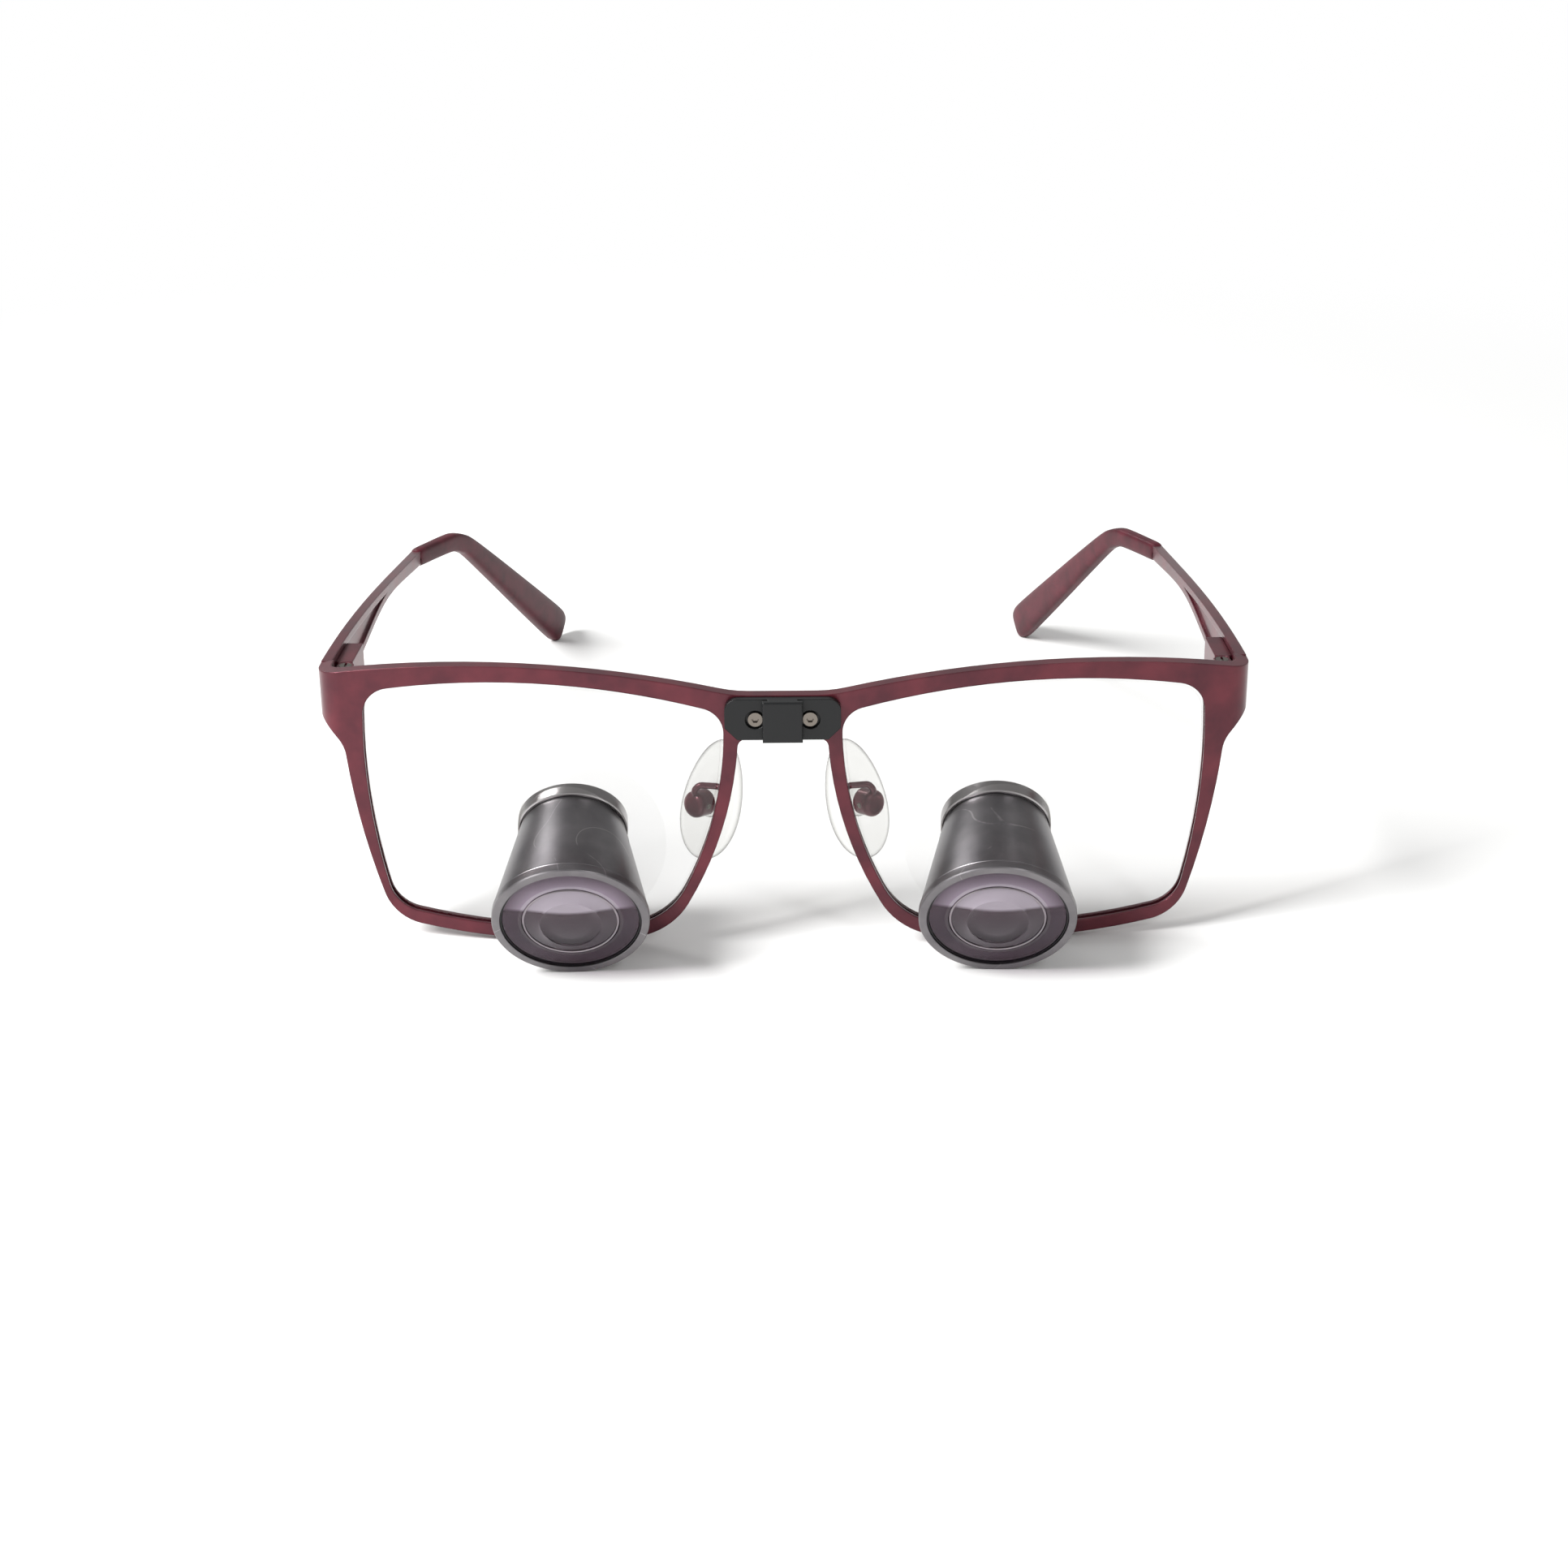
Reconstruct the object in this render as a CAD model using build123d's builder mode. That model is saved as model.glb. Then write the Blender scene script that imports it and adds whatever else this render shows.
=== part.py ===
from build123d import *
from math import cos, radians, sin, sqrt, tan
import os

os.makedirs("parts", exist_ok=True)

# Dental loupes: two Galilean telescopes through the carrier lenses of a metal spectacle frame.
# Millimetres. X runs to the wearer's left, Y back along the temples, Z up from the table.
# Each piece is drawn on the +X side, and a mirrored copy serves the other side.

# Eye openings, seen from the front
front_half_width = 70.9
endpiece_width = 7.0  # from an opening to the end of the front
eye_inner = 9.0  # half the distance between the lenses
eye_low = 2.55
eye_height = 40.65
eye_high = eye_low + eye_height
eye_outer = front_half_width - endpiece_width
brow_peak_x = 40.0
eye_low_x = 36.0
nasal_lean = 2.0  # how far the nasal edge has moved out at half height
upper_nasal_drop = 4.4
upper_temple_drop = 2.6
lower_temple_in = 3.4
lower_temple_rise = 2.55
lower_nasal_in = 9.6
lower_nasal_rise = 1.65
eye_corner_radii = (4.0, 4.8, 5.5, 12.0)  # upper nasal, upper temple, lower temple, lower nasal

# Widths of the rim around each opening
brow_rim = 2.45
temple_rim = 2.3
lower_rim = 2.0
nasal_rim = 1.9

# Front frame, a plate bent to the wrap of the face and turned back at its ends
front_thickness = 2.0
wrap_radius = 360.0
turn_radius = 4.2
bridge_top = 41.75
bridge_half = 7.5
bridge_radius = 20.0
arch_top = 34.7
arch_half = 6.75
arch_radius = 1.3
endpiece_top = 42.9
endpiece_height = 6.9
endpiece_slope_in = 3.9
endpiece_slope_drop = 4.4
endpiece_corner_radius = 1.2
endpiece_root_radius = 5.0
rim_temple_radius = 7.0
rim_nasal_radius = 12.0

# Carrier lenses
lens_thickness = 2.0
lens_setback = 0.3
lens_bevel = 0.65
lens_bevel_depth = 0.5
groove_depth = 0.5
groove_width = 1.0
lens_gap = 0.05

# Telescopes. Lengths run back along the axis from the objective's face.
decline = 24.0
converge = 2.0
scope_x = 31.85
scope_reach = 12.9  # face centre ahead of the bridge
rim_radius = 11.8
rim_chamfer = 0.3
rim_land = 1.5
objective_bore = 10.55
flare_end_radius = 8.1
flare_end = 17.9
neck_radius = 7.75
scope_length = 24.8
seat_depth = 5.9
seat_radius = 9.5
ocular_bore = 6.95
ocular_clear = 6.3
collar_radius = 8.4
collar_start = 18.25
collar_length = 4.4
fit_gap = 0.05

# Optics
objective_radius = 10.25
objective_recess = 0.35
crown_front_curve = 26.0
crown_back_curve = 30.0
crown_edge = 1.85
cement_gap = 0.03
eyepiece_length = 2.75
eyepiece_curve = 17.0
eyepiece_land = 1.0
retainer_length = 1.55
baffle_wall = 0.5
retainer_hole = 5.6
spanner_slot_width = 0.9
spanner_slot_depth = 0.6

# Hinges, one barrel on the temple between two on the front
seam_back = 12.2  # end of the turned-back leg behind the bridge
seam_gap = 0.1
hinge_inset = 3.7  # pin from the end of the front
hinge_x = front_half_width - hinge_inset
hinge_back = 13.6
hinge_height = 5.0
hinge_base = 36.9
knuckle_radius = 1.3
knuckle_gap = 0.05
swing_gap = 0.15
leaf_thickness = 1.0
leaf_length = 3.6
block_front = 1.5  # behind the pin
block_length = 8.2
block_reach = 2.6  # inward from the temple
block_chamfer = 0.7
hinge_screw_radius = 0.6
hinge_screw_head = 1.0
hinge_screw_head_height = 0.5

# Temples
temple_taper = 2.9  # degrees that each temple closes in
temple_thickness = 1.6
temple_length = 75.8
temple_front_top = 43.1
temple_front_low = 36.1
temple_narrow_at = 42.7
temple_narrow_top = 39.8
temple_narrow_low = 37.4
temple_back_top = 35.3
temple_back_low = 32.9
ridge_width = 1.1
recess_depth = 0.5
recess_start = 11.5
recess_length = 50.0
temple_edge = 0.25

# Temple tips, flat mouldings that bend in and down behind the ear
tip_turn = 21.5  # heading of the tip's plane from straight back
tip_run = 15.5  # from the seam to the bend
tip_drop = 38.5  # slope of the hook below level
tip_front_height = 4.2
tip_end_height = 6.6
tip_thickness = 2.7
tip_corner = 2.0
tip_edge = 1.0
tip_bend_radius = 15.0
tip_mouth_slant = 0.8
core_height = 1.8
core_thickness = 1.0
core_stop = 14.0  # solid plastic left past the core wire
core_bend_radius = 10.0

# Nose pads
pad_x = 11.0
pad_back = 8.6
pad_z = 21.2
pad_height = 20.4
pad_width = 12.0
pad_thickness = 2.4
pad_splay = 40.0
pad_lean = 12.0
pad_edge = 1.0
pad_screw_lift = 2.1  # screw axis above the pad's back
pad_box_radius = 2.1
pad_box_start = 0.65
pad_box_height = 3.1
pad_box_roof = 0.5
pad_slot_width = 1.4
pad_slot_length = 3.1
lug_thickness = 1.2
lug_radius = 0.95
core_disc_radius = 2.6
core_disc_thickness = 0.8
pad_screw_radius = 0.42
pad_screw_head = 0.75
pad_screw_head_height = 0.45
arm_radius = 0.5
arm_root_x = 9.35
arm_root_z = 24.6
arm_stem_length = 2.7
arm_loop_rise = 3.6
arm_bend_radius = 0.9

# Headlight rail on the bridge
plate_width = 17.4
plate_height = 6.5
plate_thickness = 1.2
plate_low = 35.1
plate_corner = 1.9
rail_width = 6.0
rail_neck_width = 4.4
rail_neck_depth = 0.5
rail_thickness = 0.9
rail_edge = 0.25
rail_screw_pitch = 8.2
rail_screw_radius = 0.8
rail_head_radius = 1.1
rail_head_height = 0.65
rail_bore_radius = 1.5
rail_bore_depth = 0.7
rail_socket_width = 1.1
rail_socket_depth = 0.4
nut_plate_width = 12.4
nut_plate_height = 3.6
nut_plate_thickness = 1.2
plate_gap = 0.03

# Places that follow from the sizes: the tips and the objective rims rest on the table at z = 0,
# and the origin is under the middle of the whole object
scope_z = rim_radius * cos(radians(decline)) - rim_chamfer * sin(radians(decline))
tip_end_z = tip_end_height / 2 * cos(radians(tip_drop)) - tip_corner * (
    sin(radians(tip_drop)) + cos(radians(tip_drop)) - 1
)
tip_seam_z = (temple_back_top + temple_back_low) / 2
tip_bend_z = tip_seam_z - 0.9
hook_run = (tip_bend_z - tip_end_z) / tan(radians(tip_drop))
tip_reach = tip_run + hook_run + tip_end_height / 2 * sin(radians(tip_drop))
tip_reach -= tip_corner * (sin(radians(tip_drop)) + cos(radians(tip_drop)) - 1)
front_reach = scope_reach + (rim_radius - rim_chamfer) * sin(radians(decline))
seam_to_tip = temple_length * cos(radians(temple_taper)) + tip_reach * cos(radians(tip_turn))
bridge_y = (front_reach - seam_back - seam_gap - seam_to_tip) / 2

front_plane = Plane.XZ.offset(-bridge_y)
plan_plane = Plane((0, bridge_y, 0))
wrap_plane = Plane((0, bridge_y + wrap_radius, 0))
through = 30.0  # longer than any cut


def export_pair(piece, name):
    for side, solid in (("left", piece), ("right", mirror(piece, about=Plane.YZ))):
        solid.label = f"{name}_{side}"
        export_step(solid, f"parts/{name}_{side}.step")


def corner_at(sketch, x, z):
    return sketch.vertices().sort_by_distance(Vector(x, z, 0))[0]


# Corners of the eye opening, and the height of its middle
upper_nasal = (eye_inner, eye_high - upper_nasal_drop)
upper_temple = (eye_outer - 0.4, eye_high - upper_temple_drop)
lower_temple = (eye_outer - lower_temple_in, eye_low + lower_temple_rise)
lower_nasal = (eye_inner + lower_nasal_in, eye_low + lower_nasal_rise)
eye_middle = eye_low + 0.45 * eye_height
side_middle = eye_low + 0.6 * eye_height


def eye_shape(grow):
    """Four arcs and four rounded corners, grown on all sides, seen from the front."""
    corners = (
        (upper_nasal[0] - grow, upper_nasal[1] + grow),
        (upper_temple[0] + grow, upper_temple[1] + grow),
        (lower_temple[0] + grow, lower_temple[1] - grow),
        (lower_nasal[0] - grow, lower_nasal[1] - grow),
    )
    with BuildSketch(front_plane) as shape:
        with BuildLine():
            top = ThreePointArc(corners[0], (brow_peak_x, eye_high + grow), corners[1])
            side = ThreePointArc(top @ 1, (eye_outer + grow, side_middle), corners[2])
            low = ThreePointArc(side @ 1, (eye_low_x, eye_low - grow), corners[3])
            ThreePointArc(low @ 1, (eye_inner + nasal_lean - grow, eye_middle), top @ 0)
        make_face()
        for (x, z), radius in zip(corners, eye_corner_radii):
            fillet(corner_at(shape.sketch_local, x, z), radius=radius + grow)
    return shape.sketch


# Outline of the front, drawn to the centre line and mirrored
bridge_end = (bridge_half, bridge_top)
brow_peak = (brow_peak_x, eye_high + brow_rim)
endpiece_low = endpiece_top - endpiece_height
endpiece_corner = (front_half_width, endpiece_low)
endpiece_root = (front_half_width - endpiece_slope_in, endpiece_low - endpiece_slope_drop)
rim_low_temple = (lower_temple[0] + 0.4, lower_temple[1] - lower_rim)
rim_low_nasal = (lower_nasal[0] - 0.5, lower_nasal[1] - lower_rim)
arch_corner = (arch_half, arch_top)

with BuildSketch(front_plane) as front_outline:
    with BuildLine():
        top = Line((0, bridge_top), bridge_end)
        brow = ThreePointArc(top @ 1, brow_peak, (front_half_width, endpiece_top))
        end = Polyline(brow @ 1, endpiece_corner, endpiece_root)
        side = ThreePointArc(end @ 1, (eye_outer + temple_rim - 0.6, eye_middle), rim_low_temple)
        low = ThreePointArc(side @ 1, (eye_low_x, eye_low - lower_rim), rim_low_nasal)
        nasal = (eye_inner + nasal_lean - nasal_rim, eye_middle)
        inner = ThreePointArc(low @ 1, nasal, arch_corner)
        Line(inner @ 1, (0, arch_top))
        mirror(about=Plane.YZ)
    make_face()
    outline_corners = (
        (bridge_end, bridge_radius),
        (endpiece_corner, endpiece_corner_radius),
        (endpiece_root, endpiece_root_radius),
        (rim_low_temple, rim_temple_radius),
        (rim_low_nasal, rim_nasal_radius),
        (arch_corner, arch_radius),
    )
    for (x, z), radius in outline_corners:
        for side in (-1, 1):
            fillet(corner_at(front_outline.sketch_local, side * x, z), radius=radius)

# Plan of the bent plate: the wrap, a turned corner and a short leg on each side
taper_run = tan(radians(temple_taper))
turn_sag = wrap_radius - sqrt(wrap_radius**2 - front_half_width**2)
leg_end_x = front_half_width - (seam_back - turn_sag) * taper_run
with BuildSketch(plan_plane) as plate_plan:
    with BuildLine():
        wrap = ThreePointArc(
            (-front_half_width, turn_sag), (0, 0), (front_half_width, turn_sag)
        )
        open_end = seam_back + 2 * front_thickness
        open_x = front_half_width - (open_end - turn_sag) * taper_run
        Polyline(wrap @ 1, (open_x, open_end), (-open_x, open_end), wrap @ 0)
    make_face()
    for side in (-1, 1):
        fillet(corner_at(plate_plan.sketch_local, side * front_half_width, turn_sag), turn_radius)
    offset(amount=-front_thickness, mode=Mode.SUBTRACT)
    with Locations((0, seam_back)):
        Rectangle(
            4 * front_half_width, 2 * open_end, align=(Align.CENTER, Align.MIN), mode=Mode.SUBTRACT
        )

# The groove that holds a lens, as the ring to be cut from the rim
groove_middle = wrap_radius - front_thickness / 2
groove_shape = eye_shape(groove_depth)
with BuildPart() as groove_ring:
    with BuildSketch(wrap_plane):
        Circle(groove_middle + groove_width / 2)
        Circle(groove_middle - groove_width / 2, mode=Mode.SUBTRACT)
    extrude(amount=eye_high + through)
    extrude(groove_shape, amount=through, both=True, mode=Mode.INTERSECT)

eye_openings = (eye_shape(0), mirror(eye_shape(0), about=Plane.YZ))
groove_rings = (groove_ring.part, mirror(groove_ring.part, about=Plane.YZ))
rail_middle_z = plate_low + plate_height / 2
rail_screw_spots = [(side * rail_screw_pitch / 2, rail_middle_z) for side in (-1, 1)]

with BuildPart() as front_frame:
    extrude(plate_plan.sketch, amount=eye_high + through)
    extrude(front_outline.sketch, amount=through, both=True, mode=Mode.INTERSECT)
    for opening in eye_openings:
        extrude(opening, amount=through, both=True, mode=Mode.SUBTRACT)
    for groove in groove_rings:
        add(groove, mode=Mode.SUBTRACT)
    with BuildSketch(front_plane):
        with Locations(*rail_screw_spots):
            Circle(rail_screw_radius + fit_gap)
    extrude(amount=through, both=True, mode=Mode.SUBTRACT)
front_frame.part.label = "front_frame"
export_step(front_frame.part, "parts/front_frame.step")

# Telescope axis. A section is drawn with x as radius and y as the length back from the face.
turn, dip = radians(converge), radians(decline)
scope_back = Vector(sin(turn) * cos(dip), cos(turn) * cos(dip), sin(dip))
scope_up = Vector(-sin(turn) * sin(dip), -cos(turn) * sin(dip), cos(dip))
scope_face = Vector(scope_x, bridge_y - scope_reach, scope_z)
scope_section = Plane(scope_face, x_dir=scope_up, z_dir=scope_up.cross(scope_back))
scope_axis = Axis(scope_face, scope_back)
flare = (rim_radius - flare_end_radius) / (flare_end - rim_land)
collar_meets_flare = rim_land + (rim_radius - collar_radius) / flare
ocular_shoulder = scope_length - eyepiece_length - retainer_length
bore_taper = (seat_radius - ocular_clear) / (ocular_shoulder - seat_depth)

# Carrier lens: a bevelled slab with a tongue in the rim's groove and the telescope's hole
lens_front = wrap_radius - lens_setback
lens_shape = eye_shape(-lens_gap)
tongue_shape = eye_shape(groove_depth - lens_gap)
with BuildPart() as carrier_lens:
    with BuildSketch(wrap_plane):
        Circle(lens_front)
        Circle(lens_front - lens_thickness, mode=Mode.SUBTRACT)
    extrude(amount=eye_high + through)
    extrude(lens_shape, amount=through, both=True, mode=Mode.INTERSECT)
    for face in carrier_lens.faces().sort_by(SortBy.AREA)[-2:]:
        chamfer(face.edges(), length=lens_bevel_depth, length2=lens_bevel)
    with BuildPart(mode=Mode.PRIVATE) as tongue:
        with BuildSketch(wrap_plane):
            Circle(groove_middle + groove_width / 2 - lens_gap)
            Circle(groove_middle - groove_width / 2 + lens_gap, mode=Mode.SUBTRACT)
        extrude(amount=eye_high + through)
        extrude(tongue_shape, amount=through, both=True, mode=Mode.INTERSECT)
    add(tongue.part)
    with BuildSketch(scope_section):
        with BuildLine():
            Polyline(
                (0, 0),
                (rim_radius + flare * rim_land + fit_gap, 0),
                (collar_radius + fit_gap, collar_meets_flare),
                (collar_radius + fit_gap, through),
                (0, through),
                close=True,
            )
        make_face()
    revolve(axis=scope_axis, mode=Mode.SUBTRACT)
export_pair(carrier_lens.part, "carrier_lens")

# Telescope barrel: a turned cone with the objective's bore, a neck and the eyepiece's bore
with BuildPart() as scope_barrel:
    with BuildSketch(scope_section):
        with BuildLine():
            Polyline(
                (objective_bore, 0),
                (rim_radius - rim_chamfer, 0),
                (rim_radius, rim_chamfer),
                (rim_radius, rim_land),
                (flare_end_radius, flare_end),
                (neck_radius, flare_end + (flare_end_radius - neck_radius)),
                (neck_radius, scope_length),
                (ocular_bore, scope_length),
                (ocular_bore, ocular_shoulder),
                (ocular_clear, ocular_shoulder),
                (seat_radius, seat_depth),
                (objective_bore, seat_depth),
                close=True,
            )
        make_face()
    revolve(axis=scope_axis)
export_pair(scope_barrel.part, "scope_barrel")

# Collar bonded into the lens around the barrel's neck
with BuildPart() as scope_collar:
    with BuildSketch(scope_section) as collar_section:
        with Locations((neck_radius + fit_gap, collar_start)):
            Rectangle(
                collar_radius - neck_radius - fit_gap,
                collar_length,
                align=(Align.MIN, Align.MIN),
            )
        chamfer(corner_at(collar_section.sketch_local, collar_radius, collar_start), length=0.2)
    revolve(axis=scope_axis)
export_pair(scope_collar.part, "scope_collar")

# Black sleeve between the objective's edge and the bore
with BuildPart() as objective_seal:
    with BuildSketch(scope_section):
        with Locations((objective_radius + fit_gap, objective_recess)):
            Rectangle(
                objective_bore - objective_radius - 2 * fit_gap,
                seat_depth - objective_recess,
                align=(Align.MIN, Align.MIN),
            )
    revolve(axis=scope_axis)
export_pair(objective_seal.part, "objective_seal")


def sagitta(curve, radius):
    return curve - sqrt(curve**2 - radius**2)


def bowl(curve, radius, edge, way):
    """Arc from the axis to the edge of a lens face; way is -1 for a face that bulges forward."""
    depth = sagitta(curve, radius)
    half = sagitta(curve, radius / 2)
    vertex = edge + way * depth
    return ThreePointArc((0, vertex), (radius / 2, vertex - way * half), (radius, edge))


# Objective doublet: a biconvex crown lens cemented to a plano-concave flint lens
crown_back_edge = objective_recess + crown_edge
with BuildPart() as objective_crown:
    with BuildSketch(scope_section):
        with BuildLine():
            front = bowl(crown_front_curve, objective_radius, objective_recess, -1)
            back = bowl(crown_back_curve, objective_radius, crown_back_edge, 1)
            Line(front @ 1, back @ 1)
            Line(front @ 0, back @ 0)
        make_face()
    revolve(axis=scope_axis)
export_pair(objective_crown.part, "objective_crown_lens")

with BuildPart() as objective_flint:
    with BuildSketch(scope_section):
        with BuildLine():
            front = bowl(crown_back_curve, objective_radius, crown_back_edge + cement_gap, 1)
            Polyline(front @ 1, (objective_radius, seat_depth), (0, seat_depth), front @ 0)
        make_face()
    revolve(axis=scope_axis)
export_pair(objective_flint.part, "objective_flint_lens")

# Blackened baffle cone between the objective's seat and the eyepiece
baffle_back = ocular_shoulder - 2 * fit_gap
with BuildPart() as scope_baffle:
    with BuildSketch(scope_section):
        with BuildLine():
            front_radius = seat_radius - fit_gap
            back_radius = ocular_clear + (ocular_shoulder - baffle_back) * bore_taper - fit_gap
            Polyline(
                (front_radius, seat_depth + fit_gap),
                (back_radius, baffle_back),
                (back_radius - baffle_wall, baffle_back),
                (front_radius - baffle_wall, seat_depth + fit_gap),
                close=True,
            )
        make_face()
    revolve(axis=scope_axis)
export_pair(scope_baffle.part, "scope_baffle")

# Biconcave eyepiece lens
eyepiece_radius = ocular_bore - fit_gap
eyepiece_back = ocular_shoulder + eyepiece_length
with BuildPart() as eyepiece_lens:
    with BuildSketch(scope_section):
        with BuildLine():
            hollow = eyepiece_radius - eyepiece_land
            front = bowl(eyepiece_curve, hollow, ocular_shoulder, 1)
            back = bowl(eyepiece_curve, hollow, eyepiece_back, -1)
            Polyline(
                front @ 1,
                (eyepiece_radius, ocular_shoulder),
                (eyepiece_radius, eyepiece_back),
                back @ 1,
            )
            Line(front @ 0, back @ 0)
        make_face()
    revolve(axis=scope_axis)
export_pair(eyepiece_lens.part, "eyepiece_lens")

# Retaining ring behind the eyepiece, with two slots for a spanner
scope_end_plane = Plane(
    scope_face + scope_back * scope_length, x_dir=scope_up, z_dir=scope_back
)
with BuildPart() as eyepiece_retainer:
    with BuildSketch(scope_section):
        with BuildLine():
            Polyline(
                (eyepiece_radius, eyepiece_back),
                (eyepiece_radius, scope_length),
                (retainer_hole + 0.5, scope_length),
                (retainer_hole, scope_length - 0.5),
                (retainer_hole, eyepiece_back),
                close=True,
            )
        make_face()
    revolve(axis=scope_axis)
    with BuildSketch(scope_end_plane):
        Rectangle(spanner_slot_width, 2 * through)
    extrude(amount=-spanner_slot_depth, mode=Mode.SUBTRACT)
export_pair(eyepiece_retainer.part, "eyepiece_retainer")

# Hinge. The front's leaf carries the two outer barrels, the temple's block the middle one.
hinge_pin = Vector(hinge_x, bridge_y + hinge_back, 0)
hinge_plane = Plane(hinge_pin + Vector(0, 0, hinge_base))
barrel_height = hinge_height / 3
leg_inner_x = leg_end_x + taper_run * leaf_length / 2 - front_thickness - fit_gap
leaf_x = leg_inner_x - hinge_x - leaf_thickness / 2
leaf_back = seam_back - hinge_back

with BuildPart() as front_hinge:
    with BuildSketch(hinge_plane):
        Circle(knuckle_radius)
        with Locations((leaf_x, leaf_back - leaf_length / 2)):
            Rectangle(leaf_thickness, leaf_length)
        make_hull()
    extrude(amount=hinge_height)
    extrude(plate_plan.sketch, amount=eye_high + through, mode=Mode.SUBTRACT)
    with BuildSketch(hinge_plane.offset(barrel_height - knuckle_gap)):
        Circle(knuckle_radius + swing_gap)
    extrude(amount=barrel_height + 2 * knuckle_gap, mode=Mode.SUBTRACT)
    with Locations(hinge_plane.offset(hinge_height)):
        CounterBoreHole(
            hinge_screw_radius + fit_gap,
            hinge_screw_head + fit_gap,
            hinge_screw_head_height,
            depth=hinge_height,
        )
export_pair(front_hinge.part, "front_hinge")

with BuildPart() as hinge_screw:
    with BuildSketch(hinge_plane):
        Circle(hinge_screw_radius)
    extrude(amount=hinge_height)
    with BuildSketch(hinge_plane.offset(hinge_height)):
        Circle(hinge_screw_head)
    extrude(amount=-hinge_screw_head_height)
    with BuildSketch(hinge_plane.offset(hinge_height)):
        Rectangle(0.35, 3 * hinge_screw_head)
    extrude(amount=-hinge_screw_head_height / 2, mode=Mode.SUBTRACT)
export_pair(hinge_screw.part, "hinge_screw")

# Temple plane: x back along the temple, y up, z out of its outer face
taper = radians(temple_taper)
temple_back = Vector(-sin(taper), cos(taper), 0)
temple_out = Vector(cos(taper), sin(taper), 0)
temple_origin = Vector(leg_end_x, bridge_y + seam_back, 0) + temple_back * seam_gap
temple_plane = Plane(temple_origin, x_dir=temple_back, z_dir=temple_out)

# Tip plane: x back along the tip, y up, z out
tip_heading = radians(tip_turn)
tip_back = Vector(-sin(tip_heading), cos(tip_heading), 0)
tip_out = Vector(cos(tip_heading), sin(tip_heading), 0)
tip_origin = temple_origin + temple_back * temple_length - temple_out * temple_thickness / 2
tip_plane = Plane(tip_origin, x_dir=tip_back, z_dir=tip_out)

drop = radians(tip_drop)
hook = Vector(cos(drop), -sin(drop))
hook_up = Vector(sin(drop), cos(drop))
tip_start = Vector(0, tip_seam_z)
tip_bend = Vector(tip_run, tip_bend_z)
tip_end = Vector(tip_run + hook_run, tip_end_z)
core_end = tip_end - hook * core_stop


with BuildSketch(temple_plane) as temple_side:
    with BuildLine():
        top = Spline(
            (0, temple_front_top),
            (0.3 * temple_narrow_at, temple_front_top - 0.45),
            (temple_narrow_at, temple_narrow_top),
            (temple_length, temple_back_top),
        )
        low = Spline(
            (0, temple_front_low),
            (0.6 * temple_narrow_at, temple_front_low + 0.25),
            (temple_narrow_at, temple_narrow_low),
            (0.5 * (temple_narrow_at + temple_length), temple_narrow_low - 1.8),
            (temple_length, temple_back_low),
        )
        Line(top @ 0, low @ 0)
        Line(top @ 1, low @ 1)
    make_face()

with BuildPart() as temple:
    extrude(temple_side.sketch, amount=-temple_thickness)
    with BuildSketch(temple_plane.offset(-temple_thickness)):
        for shift, mode in ((-ridge_width, Mode.ADD), (ridge_width, Mode.INTERSECT)):
            with Locations((0, shift)):
                add(temple_side.sketch_local, mode=mode)
        with Locations((recess_start, 0)):
            Rectangle(
                recess_length, 4 * temple_front_top, align=(Align.MIN, Align.CENTER), mode=Mode.INTERSECT
            )
    extrude(amount=recess_depth, mode=Mode.SUBTRACT)
    with BuildSketch(tip_plane):
        with BuildLine():
            FilletPolyline(
                tip_start - Vector(1.2, 0), tip_bend, core_end, radius=core_bend_radius
            )
        trace(line_width=core_height)
    extrude(amount=core_thickness / 2, both=True)
export_pair(temple.part, "temple")

# Hinge block on the temple's inner face
with BuildPart() as temple_hinge:
    with BuildSketch(hinge_plane):
        Circle(knuckle_radius)
        with Locations((knuckle_radius / 2, block_front)):
            Rectangle(knuckle_radius, block_front, align=(Align.CENTER, Align.MAX))
    extrude(amount=hinge_height)
    with BuildSketch(temple_plane) as block_side:
        with Locations((hinge_back - seam_back + block_front, hinge_base)):
            Rectangle(block_length, hinge_height, align=(Align.MIN, Align.MIN))
    extrude(amount=-temple_thickness - block_reach)
    extrude(temple_side.sketch, amount=-temple_thickness - fit_gap, mode=Mode.SUBTRACT)
    for level in (0, hinge_height - barrel_height):
        with BuildSketch(hinge_plane.offset(level)):
            Circle(knuckle_radius + swing_gap)
        extrude(amount=barrel_height, mode=Mode.SUBTRACT)
    with Locations(hinge_plane.offset(hinge_height)):
        Hole(hinge_screw_radius + fit_gap, depth=hinge_height)
export_pair(temple_hinge.part, "temple_hinge")

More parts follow.
